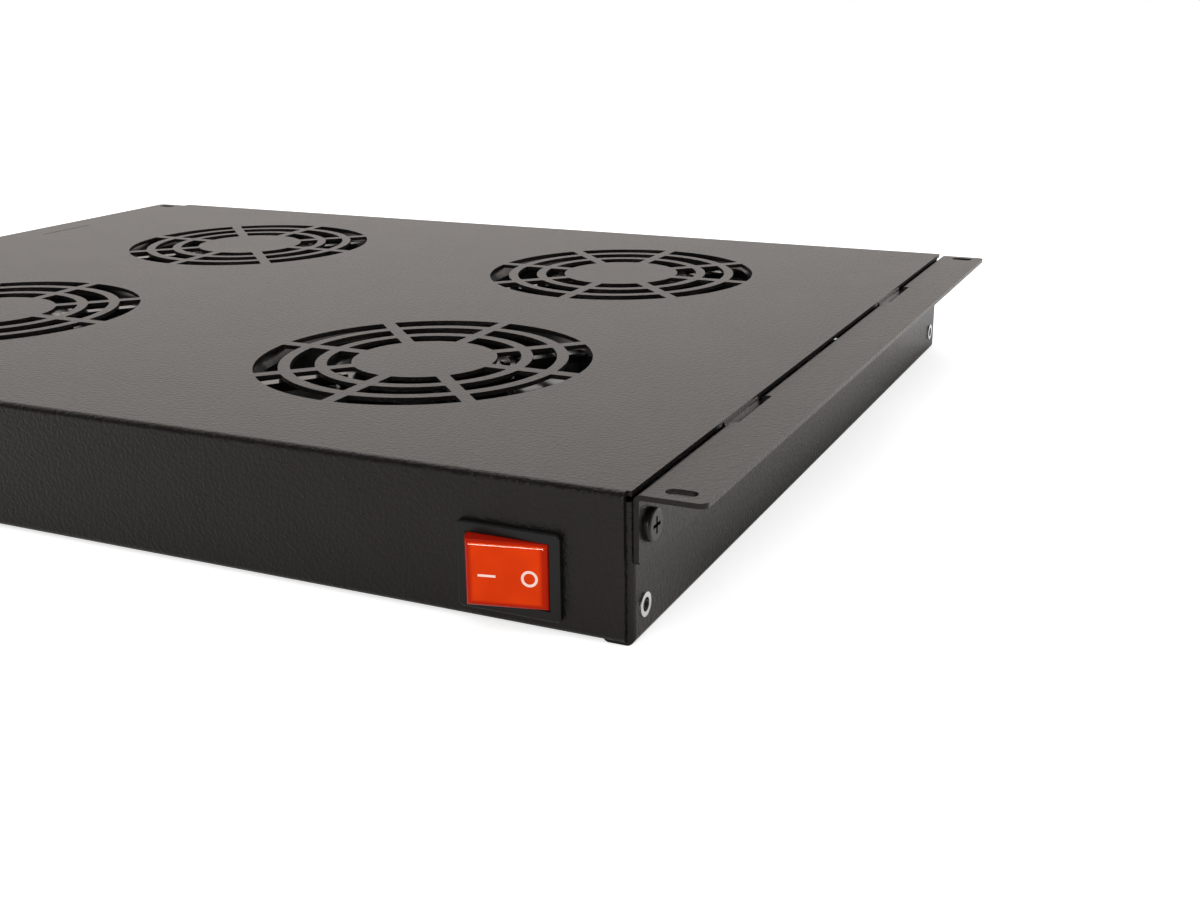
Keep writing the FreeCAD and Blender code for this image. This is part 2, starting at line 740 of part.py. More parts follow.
def switch_rocker():
    half_z = window_z / 2 - rocker_gap
    end_r = window_x / 2 - rocker_gap
    shell = rocker_outline(end_r, rocker_face, rocker_back).extrude(Vector(0, 0, 2 * half_z))
    shell = moved(shell, z=-half_z)
    shell = rounded(shell, rocker_edge,
                    lambda edge: all(abs(v.Point.y + rocker_face) < 0.01 for v in edge.Vertexes))
    inside = rocker_outline(end_r - rocker_wall, rocker_face - rocker_wall, rocker_back + 1)
    depth_z = 2 * (half_z - rocker_wall)
    inside = moved(inside.extrude(Vector(0, 0, depth_z)), z=-depth_z / 2)
    pivot_end = window_z / 2 + pivot - running_clearance
    pivots = [upright(0, 0, half_z - rocker_wall, pivot_end, pivot_r)]
    pivots.append(upright(0, 0, -pivot_end, -half_z + rocker_wall, pivot_r))
    shape = fuse([shell.cut(inside)] + pivots)
    return switch_frame(turned(shape, rocker_tilt))


def switch_lamp():
    lamp_y = 2.6
    tube = along_x(-lamp_length / 2, lamp_length / 2, lamp_y, 0, lamp_r)
    leads = []
    for side_sign in (-1, 1):
        x = side_sign * (lamp_length / 2 - 1)
        leads.append(along_y(x, lamp_y + lamp_r / 2, cavity_depth, 0, lamp_lead_r))
    return switch_frame(fuse([tube] + leads))


def housing_back_y():
    return -rocker_pivot_back + bezel + housing_depth


def switch_terminals():
    wide, thin, long = blade_terminal
    solids = []
    for x in (-terminal_pitch_x / 2, terminal_pitch_x / 2):
        for z in (-terminal_pitch_z / 2, terminal_pitch_z / 2):
            solids.append(box(x - thin / 2, x + thin / 2, housing_back_y(), housing_back_y() + long,
                              z - wide / 2, z + wide / 2))
    return switch_frame(Part.makeCompound(solids))


def boot(half_x, half_z, deep):
    # soft cover, open towards -Y, its closed end towards +Y
    outer = box(-half_x, half_x, 0, deep, -half_z, half_z)
    outer = rounded(outer, 2.0, lambda edge: not edge_at(edge, y=0.0))
    inner = box(-half_x + boot_wall, half_x - boot_wall, -1, deep - boot_wall, -half_z + boot_wall,
                half_z - boot_wall)
    return outer.cut(inner)


def switch_boot():
    cover = boot(housing_x / 2 - 1, housing_z / 2 - 1, boot_depth)
    return switch_frame(moved(cover, y=housing_back_y()))


# ---------------------------------------------------------------- inlet
def inlet_frame(shape):
    return moved(shape, inlet_x, half_d, inlet_z)


def inlet_housing():
    wide, thick, tall = inlet_flange
    flange = box(-wide / 2, wide / 2, 0, thick, -tall / 2, tall / 2)
    flange = rounded(flange, inlet_flange_corner, lambda edge: runs_along(edge, "y"))
    flange = rounded(flange, 0.6, lambda edge: all(abs(v.Point.y - thick) < 0.01 for v in edge.Vertexes))
    wide, deep, tall = inlet_body
    body = box(-wide / 2, wide / 2, -deep, 0, -tall / 2, tall / 2)
    wide, deep, tall = inlet_cavity
    mouth = inlet_flange[1]
    cavity = box(-wide / 2, wide / 2, mouth - deep, mouth + 1, -tall / 2, tall / 2)
    cavity = cavity.makeChamfer(inlet_bevel, [edge for edge in cavity.Edges
                                        if runs_along(edge, "y") and edge_at(edge, z=tall / 2)])
    cuts = [cavity]
    for side_sign in (-1, 1):
        x = side_sign * inlet_screw_pitch / 2
        cuts.append(along_y(x, -1, mouth + 1, 0, m3 / 2 + cutout_clearance / 2))
    for x, z in pin_places():
        cuts.append(box(x - pin[0] / 2, x + pin[0] / 2, -inlet_body[1] - 1, mouth - deep + 1,
                        z - pin[2] / 2, z + pin[2] / 2))
    return inlet_frame(fuse([flange, body]).cut(cuts))


def pin_places():
    return [(-pin_pitch / 2, -pin_offset), (0.0, pin_offset), (pin_pitch / 2, -pin_offset)]


def inlet_pins():
    solids = []
    floor_y = inlet_flange[1] - inlet_cavity[1]
    tail = inlet_body[1] + floor_y
    for x, z in pin_places():
        half_x = pin[0] / 2 - fit_clearance
        half_z = pin[2] / 2 - fit_clearance
        blade = box(x - half_x, x + half_x, floor_y - tail, floor_y + pin[1], z - half_z, z + half_z)
        tab = box(x - blade_terminal[1] / 2, x + blade_terminal[1] / 2, -inlet_body[1] - blade_terminal[2],
                  -inlet_body[1], z - pin[2] / 2, z + pin[2] / 2)
        solids.append(fuse([blade, tab]))
    return inlet_frame(Part.makeCompound(solids))


def inlet_screws():
    length = inlet_flange[1] + sheet + inlet_nut + 1
    screw = pan_head_screw(inlet_screw_head_r, inlet_screw_head, m3 / 2 - thread_clearance, length)
    screw = turned(screw, 90)
    solids = []
    for side_sign in (-1, 1):
        solids.append(moved(screw, side_sign * inlet_screw_pitch / 2, inlet_flange[1], 0))
    return inlet_frame(Part.makeCompound(solids))


def inlet_nuts():
    piece = turned(hexagon(inlet_nut_flats, inlet_nut, m3 / 2), 90, axis=Vector(1, 0, 0))
    solids = []
    for side_sign in (-1, 1):
        solids.append(moved(piece, side_sign * inlet_screw_pitch / 2, -sheet, 0))
    return inlet_frame(Part.makeCompound(solids))


def inlet_boot():
    cover = turned(boot(inlet_body[0] / 2 - 1, inlet_body[2] / 2 - 1, inlet_boot_depth), 180)
    return inlet_frame(moved(cover, y=-inlet_body[1]))


# ---------------------------------------------------------------- terminal block and leads
def block_way_y(step):
    return (step - (block_ways - 1) / 2) * block_way_pitch


def terminal_block():
    low = under_plate - block_height
    body = box(-block_width / 2, block_width / 2, -block_length / 2, block_length / 2, low, under_plate)
    body = rounded(body, 1.5, lambda edge: runs_along(edge, "y") and edge_at(edge, z=low))
    cuts = []
    entry_z = under_plate - block_height / 2
    for step in range(block_ways):
        y = block_way_y(step)
        for side_sign in (-1, 1):
            x = side_sign * block_width / 4
            cuts.append(upright(x, y, low - 1, low + block_well, block_well_r))
            start = side_sign * block_width / 2
            inner = start - side_sign * block_entry
            cuts.append(along_x(min(start, inner), max(start, inner), y, entry_z, block_entry_r))
    for x, y in block_studs():
        cuts.append(upright(x, y, low - 1, under_plate + 1, m4_r + block_stud_gap))
    return body.cut(cuts)


def terminal_screws():
    low = under_plate - block_height
    solids = []
    for step in range(block_ways):
        for side_sign in (-1, 1):
            x = side_sign * block_width / 4
            y = block_way_y(step)
            face = low + block_screw_drop
            screw = upright(x, y, face, low + block_well, block_screw_r)
            slit = box(x - block_screw_r, x + block_screw_r, y - block_slit / 2, y + block_slit / 2,
                       low, face + block_slit_depth)
            solids.append(screw.cut(slit))
    return Part.makeCompound(solids)


def fan_leads():
    # from the upper ear of each fan's frame across the middle bay to the block
    start_x = fan_x - fan_side / 2
    start_y = fan_y - fan_side / 2 + fan_corner + fan_lead_d / 2 + 0.3
    start_z = under_plate - fan_ear / 2
    end_x = block_width / 2
    end_y = block_way_y(block_ways - 1)
    end_z = under_plate - block_height / 2
    straight = 11.5
    solids = []
    for place in fan_places:
        side_sign = 1 if place.endswith("right") else -1
        end_sign = 1 if place.startswith("rear") else -1
        route = [(start_x, start_y, start_z), (start_x - straight, start_y, start_z),
                 (end_x + straight, end_y, end_z), (end_x, end_y, end_z)]
        points = [Vector(side_sign * x, end_sign * y, z) for x, y, z in route]
        solids.append(lead("fan lead", points, fan_lead_d))
    return Part.makeCompound(solids)


lead_wall_x = half_w - sheet - mains_lead_d / 2 - clip_wall - clip_foot
switch_boot_y = housing_back_y() - half_d - bezel + rocker_pivot_back + boot_depth


def inlet_lead():
    # straight out of the inlet's boot, through the clips on the side wall, into the switch's boot
    points = [
        Vector(inlet_x + 2, inlet_boot_y, inlet_z),
        Vector(inlet_x + 2, inlet_boot_y - 24, inlet_z),
        Vector(inlet_x + 24, inlet_boot_y - 56, inlet_z - 2),
        Vector(lead_wall_x, 46, clip_z),
        Vector(lead_wall_x, -46, clip_z),
        Vector(lead_wall_x - 8, -100, switch_z + 0.3),
        Vector(switch_x + 6, switch_boot_y + 20, switch_z),
        Vector(switch_x + 6, switch_boot_y, switch_z),
    ]
    return lead("inlet lead", points, mains_lead_d)


def switch_lead():
    # out of the switch's boot, along the right-hand bay and between the fans to the block
    block_z = under_plate - block_height / 2
    points = [
        Vector(switch_x - 6, switch_boot_y, switch_z),
        Vector(switch_x - 6, switch_boot_y + 22, switch_z),
        Vector(switch_x - 10, switch_boot_y + 64, switch_z + 5),
        Vector(switch_x - 9, switch_boot_y + 106, switch_z + 11),
        Vector(switch_x - 30, switch_boot_y + 136, switch_z + 15),
        Vector(switch_x - 74, 2, block_z - 1),
        Vector(switch_x - 122, -4, block_z - 0.5),
        Vector(block_width / 2 + 24, 0, block_z),
        Vector(block_width / 2, 0, block_z),
    ]
    return lead("switch lead", points, mains_lead_d)


def earth_lead():
    # from the inlet's boot up to the tag on the plate
    tag_z = under_plate - earth_tag - earth_lead_d / 2
    x, y = earth_place
    start_x = inlet_x + 9.5
    end_y = y + earth_tag_r + earth_neck
    points = [
        Vector(start_x, inlet_boot_y, inlet_z + 4),
        Vector(start_x, inlet_boot_y - 10, inlet_z + 4),
        Vector(start_x + 5.5, inlet_boot_y - 19, inlet_z + 9),
        Vector(x, end_y + 12, tag_z),
        Vector(x, end_y, tag_z),
    ]
    return lead("earth lead", points, earth_lead_d)


def earth_terminal():
    x, y = earth_place
    low = under_plate - earth_tag
    tag = upright(x, y, low, under_plate, earth_tag_r)
    end_y = y + earth_tag_r + earth_neck
    neck = box(x - 1.6, x + 1.6, y, end_y, low, under_plate)
    crimp = box(x - 1.9, x + 1.9, end_y - 3.0, end_y, low - earth_lead_d, under_plate)
    return fuse([tag, neck, crimp]).cut(upright(x, y, low - 1, under_plate + 1, m4_r + block_stud_gap))


def cable_clips():
    # saddle round the lead, stuck to the side wall
    solids = []
    wall_x = half_w - sheet
    outer_r = mains_lead_d / 2 + clip_wall
    for y in clip_ys:
        y0 = y - clip_width / 2
        y1 = y + clip_width / 2
        saddle = along_y(lead_wall_x, y0, y1, clip_z, outer_r)
        foot = box(wall_x - clip_foot - clip_sink, wall_x, y0, y1, clip_z - outer_r - 2, clip_z + outer_r + 2)
        neck = box(lead_wall_x, wall_x, y0, y1, clip_z - 2.5, clip_z + 2.5)
        hole = along_y(lead_wall_x, y0 - 1, y1 + 1, clip_z, mains_lead_d / 2 + 0.3)
        solids.append(fuse([saddle, foot, neck]).cut(hole))
    return Part.makeCompound(solids)


# ---------------------------------------------------------------- assembly
nodes["top_pan"] = top_pan()
right_bracket = bracket()
nodes["bracket_right"] = right_bracket
nodes["bracket_left"] = left_of(right_bracket)
levels = insert_heights()
screw = pan_head_screw(screw_head_d / 2, screw_head, screw_r, screw_length)
nodes["bracket_screws"] = at_insert_places(moved(screw, bracket_sheet), levels["upper"])
nodes["upper_insert_nuts"] = at_insert_places(insert_nut(), levels["upper"])
nodes["lower_insert_nuts"] = at_insert_places(insert_nut(), levels["lower"])

nodes["switch_housing"] = switch_housing()
nodes["switch_rocker"] = switch_rocker()
nodes["switch_lamp"] = switch_lamp()
nodes["switch_terminals"] = switch_terminals()
nodes["switch_boot"] = switch_boot()

nodes["inlet_housing"] = inlet_housing()
nodes["inlet_pins"] = inlet_pins()
nodes["inlet_screws"] = inlet_screws()
nodes["inlet_nuts"] = inlet_nuts()
nodes["inlet_boot"] = inlet_boot()

fan_pieces = {
    "fan_frame": fan_frame(),
    "fan_bearings": fan_bearings(),
    "fan_stator": fan_stator(),
    "fan_guard": wire_guard(),
    "impeller": impeller(),
    "fan_rotor": fan_rotor(),
    "fan_shaft": fan_shaft(),
}
for place, (x, y, phase) in fan_places.items():
    for piece, shape in fan_pieces.items():
        spun = turned(shape, phase) if piece in ("impeller", "fan_rotor", "fan_shaft") else shape
        nodes[piece + "_" + place] = moved(spun, x, y)

nodes["weld_studs"] = weld_studs()
nodes["stud_washers"] = on_studs(ring(washer_r, m4_r + block_stud_gap, 0, washer), washer, 0)
nodes["stud_nuts"] = on_studs(hexagon(nut_flats, nut, m4_r), nut, washer)
nodes["guard_screws"] = guard_screws()
guard_nut = moved(hexagon(nut_flats, nut, m4_r), z=fan_low + fan_ear)
nodes["guard_nuts"] = Part.makeCompound(at_fan_holes(guard_nut))

nodes["terminal_block"] = terminal_block()
nodes["terminal_screws"] = terminal_screws()
nodes["fan_leads"] = fan_leads()
nodes["inlet_lead"] = inlet_lead()
nodes["switch_lead"] = switch_lead()
nodes["earth_lead"] = earth_lead()
nodes["earth_terminal"] = earth_terminal()
nodes["cable_clips"] = cable_clips()

front = min(shape.optimalBoundingBox().YMin for shape in nodes.values())
back = max(shape.optimalBoundingBox().YMax for shape in nodes.values())
shift_y = -(front + back) / 2
print("shift in y", round(shift_y, 4), "depth over all", round(back - front, 3))
for name, shape in nodes.items():
    placed = moved(shape, y=shift_y)
    if not placed.isValid():
        print("not valid:", name)
    placed.exportStep("parts/" + name + ".step")
    print(name, len(placed.Solids), "solids, volume", round(placed.Volume, 1))
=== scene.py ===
import json
import math
import bpy
import bmesh
from mathutils import Vector, Matrix


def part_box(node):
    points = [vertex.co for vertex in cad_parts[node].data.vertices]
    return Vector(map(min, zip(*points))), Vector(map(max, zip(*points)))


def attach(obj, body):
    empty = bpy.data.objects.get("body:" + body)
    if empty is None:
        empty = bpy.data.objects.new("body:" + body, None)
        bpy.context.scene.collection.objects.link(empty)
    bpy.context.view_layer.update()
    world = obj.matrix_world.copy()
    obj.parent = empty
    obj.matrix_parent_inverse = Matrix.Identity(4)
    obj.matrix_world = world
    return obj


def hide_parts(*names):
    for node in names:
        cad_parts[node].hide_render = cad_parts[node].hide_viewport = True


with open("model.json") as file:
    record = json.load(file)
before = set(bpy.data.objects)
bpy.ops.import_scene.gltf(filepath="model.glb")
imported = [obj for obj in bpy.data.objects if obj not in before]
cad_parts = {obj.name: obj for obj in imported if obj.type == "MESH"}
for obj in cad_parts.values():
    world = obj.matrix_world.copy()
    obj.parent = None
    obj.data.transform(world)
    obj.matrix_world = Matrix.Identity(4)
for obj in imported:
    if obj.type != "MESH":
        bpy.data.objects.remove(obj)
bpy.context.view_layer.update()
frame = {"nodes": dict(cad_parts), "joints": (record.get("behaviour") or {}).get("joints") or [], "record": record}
nodes = frame["nodes"]
jointPlaces = {joint["name"]: Vector(joint["pos_m"]) for joint in frame["joints"]}
mm = 0.001
fanPlaces = ("front_left", "front_right", "rear_left", "rear_right")
scene = bpy.context.scene
scene.view_settings.view_transform = "Standard"
print("frame loaded:", len(nodes), "nodes")


# camera, placed from the pan's front right top corner
view = {
    "fromCorner": (137.2, -311.9, 122.1),   # mm
    "turn": (72.034, 0.590, 24.828),        # degrees
    "lens": 43.24,
    "sensor": 36,
    "nearest": 0.01,                        # metres
}
panLow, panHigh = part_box("top_pan")
corner = Vector((panHigh.x, panLow.y, panHigh.z))
cameraData = bpy.data.cameras.new("camera")
cameraData.lens = view["lens"]
cameraData.sensor_width = view["sensor"]
cameraData.clip_start = view["nearest"]
camera = bpy.data.objects.new("camera", cameraData)
camera.location = corner + Vector(view["fromCorner"]) * mm
camera.rotation_euler = [math.radians(a) for a in view["turn"]]
scene.collection.objects.link(camera)
scene.camera = camera


# node helpers and finishes
def startMaterial(name, color, roughness, metallic=0.0):
    material = bpy.data.materials.new(name)
    material.use_nodes = True
    tree = material.node_tree
    shader = tree.nodes["Principled BSDF"]
    shader.inputs["Base Color"].default_value = (*color, 1)
    shader.inputs["Roughness"].default_value = roughness
    shader.inputs["Metallic"].default_value = metallic
    return material, tree, shader


def objectPoint(tree):
    return tree.nodes.new("ShaderNodeTexCoord").outputs["Object"]


def noise(tree, grain, detail=2.0):
    # grain is the size of the pattern in millimetres
    texture = tree.nodes.new("ShaderNodeTexNoise")
    texture.inputs["Scale"].default_value = 1 / (grain * mm)
    texture.inputs["Detail"].default_value = detail
    tree.links.new(objectPoint(tree), texture.inputs["Vector"])
    return texture.outputs["Fac"]


def spread(tree, value, low, high, fromLow=0.3, fromHigh=0.7):
    remap = tree.nodes.new("ShaderNodeMapRange")
    remap.inputs["From Min"].default_value = fromLow
    remap.inputs["From Max"].default_value = fromHigh
    remap.inputs["To Min"].default_value = low
    remap.inputs["To Max"].default_value = high
    tree.links.new(value, remap.inputs["Value"])
    return remap.outputs["Result"]


def colorSpread(tree, value, dark, light, fromLow=0.35, fromHigh=0.65):
    ramp = tree.nodes.new("ShaderNodeValToRGB")
    ramp.color_ramp.elements[0].position = fromLow
    ramp.color_ramp.elements[0].color = (*dark, 1)
    ramp.color_ramp.elements[1].position = fromHigh
    ramp.color_ramp.elements[1].color = (*light, 1)
    tree.links.new(value, ramp.inputs["Fac"])
    return ramp.outputs["Color"]


def maths(tree, operation, first, second=0.0):
    node = tree.nodes.new("ShaderNodeMath")
    node.operation = operation
    for socket, value in zip(node.inputs, (first, second)):
        if isinstance(value, (int, float)):
            socket.default_value = value
        else:
            tree.links.new(value, socket)
    return node.outputs[0]


def parted(tree, point):
    node = tree.nodes.new("ShaderNodeSeparateXYZ")
    tree.links.new(point, node.inputs[0])
    return node.outputs


def outside(tree, value, middle, half, blur):
    # 0 within half of the middle, rising to 1 over the blur, all in millimetres
    away = maths(tree, "ABSOLUTE", maths(tree, "SUBTRACT", value, middle * mm))
    return spread(tree, away, 0.0, 1.0, (half - blur / 2) * mm, (half + blur / 2) * mm)


def fade(tree, value, reach, low=0.0, high=1.0):
    # smoothly from low to high while the value goes through the reach
    result = spread(tree, value, low, high, *reach)
    result.node.interpolation_type = "SMOOTHSTEP"
    return result


def mixColor(tree, factor, first, second):
    node = tree.nodes.new("ShaderNodeMix")
    node.data_type = "RGBA"
    tree.links.new(factor, node.inputs["Factor"])
    for socket, value in ((node.inputs[6], first), (node.inputs[7], second)):
        if isinstance(value, tuple):
            socket.default_value = (*value, 1)
        else:
            tree.links.new(value, socket)
    return node.outputs[2]


def bump(tree, shader, layers):
    # each layer is (height value, depth in mm)
    normal = None
    for value, depth in layers:
        node = tree.nodes.new("ShaderNodeBump")
        node.inputs["Distance"].default_value = depth * mm
        node.inputs["Strength"].default_value = 1.0
        tree.links.new(value, node.inputs["Height"])
        if normal:
            tree.links.new(normal, node.inputs["Normal"])
        normal = node.outputs["Normal"]
    tree.links.new(normal, shader.inputs["Normal"])


def mottle(tree, shader, color, grain, amount):
    dark, light = (tuple(channel * factor for channel in color) for factor in (1 - amount, 1 + amount))
    tree.links.new(colorSpread(tree, noise(tree, grain), dark, light), shader.inputs["Base Color"])


def powderCoat():
    coat = {
        "color": (0.0065, 0.0058, 0.0054),
        "gloss": 0.24,                  # specular level of a low-index binder
        "tint": (1.0, 0.94, 0.90, 1),
        "roughness": (0.325, 0.335),
        "cloud": 25,                    # mm, how far apart the roughness varies
        "mottle": (18, 0.10),           # grain in mm, and share of the color
        "peel": (1.3, 0.3),             # grain and depth in mm
        "grit": (0.5, 0.12),
    }
    material, tree, shader = startMaterial("powderCoat", coat["color"], coat["roughness"][0])
    shader.inputs["Specular IOR Level"].default_value = coat["gloss"]
    shader.inputs["Specular Tint"].default_value = coat["tint"]
    mottle(tree, shader, coat["color"], *coat["mottle"])
    roughness = spread(tree, noise(tree, coat["cloud"]), *coat["roughness"])
    tree.links.new(roughness, shader.inputs["Roughness"])
    (peelGrain, peelDepth), (gritGrain, gritDepth) = coat["peel"], coat["grit"]
    bump(tree, shader, [(noise(tree, peelGrain), peelDepth), (noise(tree, gritGrain, 1.0), gritDepth)])
    return material


plastic = {
    "mottle": (7, 0.06),
    "cloud": 12,
    "uneven": (-0.05, 0.06),            # added to the roughness
    "detail": 1.5,
}


def satinPlastic(name, color, roughness, grain, depth, gloss=0.5):
    # grain and depth of its fine texture in millimetres
    material, tree, shader = startMaterial(name, color, roughness)
    shader.inputs["Specular IOR Level"].default_value = gloss
    mottle(tree, shader, color, *plastic["mottle"])
    low, high = plastic["uneven"]
    varied = spread(tree, noise(tree, plastic["cloud"]), roughness + low, roughness + high)
    tree.links.new(varied, shader.inputs["Roughness"])
    bump(tree, shader, [(noise(tree, grain, plastic["detail"]), depth)])
    return material


plating = {
    "mottle": (4, 0.05),
    "grain": 1.2,                       # mm
    "detail": 3,
    "uneven": (0.75, 1.35),             # times the roughness
    "depth": 0.003,
}


def plated(name, color, roughness):
    material, tree, shader = startMaterial(name, color, roughness, 1.0)
    pattern = noise(tree, plating["grain"], plating["detail"])
    mottle(tree, shader, color, *plating["mottle"])
    low, high = plating["uneven"]
    tree.links.new(spread(tree, pattern, roughness * low, roughness * high), shader.inputs["Roughness"])
    bump(tree, shader, [(pattern, plating["depth"])])
    return material


rocker = {
    "tilt": 12.5,                       # degrees at rest, the O end pressed
    "face": 5.5,                        # mm from the pivot
    "faceColors": ((0.69, 0.037, 0.003), (0.78, 0.047, 0.004)),
    "faceCloud": 9,                     # mm, how far apart the two colors lie
    "faceRoughness": 0.06,
    "faceRipple": (3, 0.002),           # grain and depth in mm
    "shadedEdgeColor": (0.44, 0.012, 0.003),  # painted shade where the clear moulding is thick and rounds off
    "faceGloss": 0.3,
    "faceTint": (1.0, 0.25, 0.06, 1),
    "polishColor": (0.80, 0.040, 0.004),
    "polishTint": (1.0, 0.80, 0.72, 1),
    "polishMottle": (6, 0.05),
    "polishRoughness": (0.04, 0.09),
    "polishCloud": 4,
    "panel": ((-0.2, 9.6, 1.1), (0.4, 8.3, 0.8)),   # middle, half width and blur, along and up
    "bar": (-5.4, 4.9, 0.66),           # middle, length and line width of the marks
    "circle": (6.3, 2.3, 0.74),         # middle, outer radius and line width
    "markLevel": -0.4,                  # height of the marks over the middle line
    "markDepth": 0.08,
    "markStandOff": 0.02,
    "circleSteps": 64,
    "markColor": (0.98, 0.72, 0.64),
    "facet": ((8.15, 0.06), (8.65, -0.12)),  # flat along the upper edge: height, stand off the face
    "facetLength": 20.4,
    "facetRoot": 0.5,                   # how far it reaches into the face
}
rockerPivot = jointPlaces["rocker_tilt"]


def rockerPlastic():
    # bright in the middle of the face, with painted shade darkening it towards the thick rounded edges
    material, tree, shader = startMaterial("rockerRed", rocker["faceColors"][0], rocker["faceRoughness"])
    shader.inputs["Specular IOR Level"].default_value = rocker["faceGloss"]
    shader.inputs["Specular Tint"].default_value = rocker["faceTint"]
    local = tree.nodes.new("ShaderNodeMapping")
    local.vector_type = "TEXTURE"
    local.inputs["Location"].default_value = rockerPivot
    local.inputs["Rotation"].default_value = (0, 0, math.radians(rocker["tilt"]))
    tree.links.new(objectPoint(tree), local.inputs["Vector"])
    x, y, z = parted(tree, local.outputs["Vector"])
    along, up = rocker["panel"]
    # painted shade: outside the panel the face takes the darker edge colour, along the rounded edges
    edge = maths(tree, "MAXIMUM", outside(tree, x, *along), outside(tree, z, *up))
    middle = colorSpread(tree, noise(tree, rocker["faceCloud"], 1), *rocker["faceColors"])
    tree.links.new(mixColor(tree, edge, middle, rocker["shadedEdgeColor"]), shader.inputs["Base Color"])
    grain, depth = rocker["faceRipple"]
    bump(tree, shader, [(noise(tree, grain, 1), depth)])
    return material


def polishedEdge():
    color, roughness = rocker["polishColor"], rocker["polishRoughness"]
    material, tree, shader = startMaterial("rockerEdgeRed", color, roughness[0])
    shader.inputs["Specular Tint"].default_value = rocker["polishTint"]
    mottle(tree, shader, color, *rocker["polishMottle"])
    varied = spread(tree, noise(tree, rocker["polishCloud"]), *roughness)
    tree.links.new(varied, shader.inputs["Roughness"])
    return material


def laminated():
    # a stack of thin sheets, seen as fine lines up the core
    core = {"steel": (0.16, 0.15, 0.15), "roughness": 0.5, "metal": 0.7, "mottle": (5, 0.12),
            "lines": 320, "lineDepth": 0.05}
    material, tree, shader = startMaterial("coreSteel", core["steel"], core["roughness"], core["metal"])
    mottle(tree, shader, core["steel"], *core["mottle"])
    wave = tree.nodes.new("ShaderNodeTexWave")
    wave.bands_direction = "Z"
    wave.inputs["Scale"].default_value = core["lines"]
    tree.links.new(objectPoint(tree), wave.inputs["Vector"])
    bump(tree, shader, [(wave.outputs["Fac"], core["lineDepth"])])
    return material


def twoColorSheath():
    # green, with a yellow band in slanting turns
    sheath = {"green": (0.06, 0.26, 0.07), "yellow": (0.75, 0.62, 0.05), "roughness": 0.4,
              "bands": 40, "edge": (0.62, 0.66)}
    material, tree, shader = startMaterial("earthSheath", sheath["green"], sheath["roughness"])
    wave = tree.nodes.new("ShaderNodeTexWave")
    wave.bands_direction = "DIAGONAL"
    wave.inputs["Scale"].default_value = sheath["bands"]
    tree.links.new(objectPoint(tree), wave.inputs["Vector"])
    color = colorSpread(tree, wave.outputs["Fac"], sheath["green"], sheath["yellow"], *sheath["edge"])
    tree.links.new(color, shader.inputs["Base Color"])
    return material


materials = {
    "powder_coat": powderCoat(),
    "black_screw": satinPlastic("blackScrew", (0.006, 0.005, 0.0045), 0.27, 0.6, 0.008, 0.30),
    "insert_zinc": plated("insertZinc", (0.78, 0.79, 0.80), 0.22),
    "switch_black": satinPlastic("switchBlack", (0.005, 0.005, 0.005), 0.32, 0.4, 0.006, 0.25),
    "rocker_red": rockerPlastic(),
    "lamp_glass": satinPlastic("lampGlass", (0.85, 0.62, 0.5), 0.1, 2, 0.001),
    "terminal_brass": plated("terminalBrass", (0.75, 0.56, 0.28), 0.3),
    "boot_vinyl": satinPlastic("bootVinyl", (0.025, 0.025, 0.026), 0.5, 1.5, 0.03),
    "inlet_black": satinPlastic("inletBlack", (0.010, 0.010, 0.010), 0.40, 0.5, 0.012, 0.35),
    "fastener_zinc": plated("fastenerZinc", (0.66, 0.67, 0.68), 0.3),
    "fan_frame_black": satinPlastic("fanFrameBlack", (0.004, 0.004, 0.004), 0.18, 3, 0.03, 0.6),
    "impeller_black": satinPlastic("impellerBlack", (0.004, 0.004, 0.004), 0.16, 6, 0.02, 0.45),
    "bearing_steel": plated("bearingSteel", (0.7, 0.7, 0.72), 0.16),
    "core_steel": laminated(),
    "guard_chrome": plated("guardChrome", (0.74, 0.75, 0.76), 0.14),
    "block_nylon": satinPlastic("blockNylon", (0.80, 0.79, 0.73), 0.42, 1, 0.01),
    "lead_black": satinPlastic("leadBlack", (0.02, 0.02, 0.021), 0.42, 0.8, 0.015),
    "earth_green": twoColorSheath(),
    "clip_nylon": satinPlastic("clipNylon", (0.78, 0.77, 0.72), 0.4, 1, 0.01),
}
markInk = satinPlastic("markInk", rocker["markColor"], 0.4, 0.3, 0.002)
for entry in frame["record"]["subparts"]:
    data = nodes[entry["node"]].data
    data.materials.clear()
    data.materials.append(materials[entry["material_slot"]])
print("materials set:", len(materials))


# pieces made here
sharpAngle = 35                         # degrees, an edge that turns more stays crisp


def addPiece(name, mesh, material, body):
    bmesh.ops.recalc_face_normals(mesh, faces=mesh.faces)
    data = bpy.data.meshes.new(name)
    mesh.to_mesh(data)
    mesh.free()
    data.materials.append(material)
    data.shade_smooth()
    data.set_sharp_from_angle(angle=math.radians(sharpAngle))
    piece = bpy.data.objects.new(name, data)
    scene.collection.objects.link(piece)
    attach(piece, body)
    return piece


# wire guards, of round bright wire, in millimetres
guard = {
    "rings": (16.0, 27.0, 38.0, 49.0),
    "wire": 0.8,                # radius
    "loop": 3.1,
    "screwPitch": 105.0,
    "weld": 0.25,               # how far the rings sink into the legs
    "sides": 10,
    "ringSteps": 72,
    "loopSteps": 28,
}


def wireRing(mesh, center, ringRadius, wireRadius, steps):
    around = bmesh.ops.create_circle(mesh, segments=guard["sides"], radius=wireRadius,
                                     matrix=Matrix.Rotation(math.pi / 2, 4, "X"))["verts"]
    bmesh.ops.translate(mesh, verts=around, vec=(ringRadius, 0, 0))
    bmesh.ops.translate(mesh, verts=around, vec=center)
    edges = list({edge for vertex in around for edge in vertex.link_edges})
    bmesh.ops.spin(mesh, geom=around + edges, cent=center, axis=(0, 0, 1), angle=2 * math.pi, steps=steps,
                   use_merge=True)


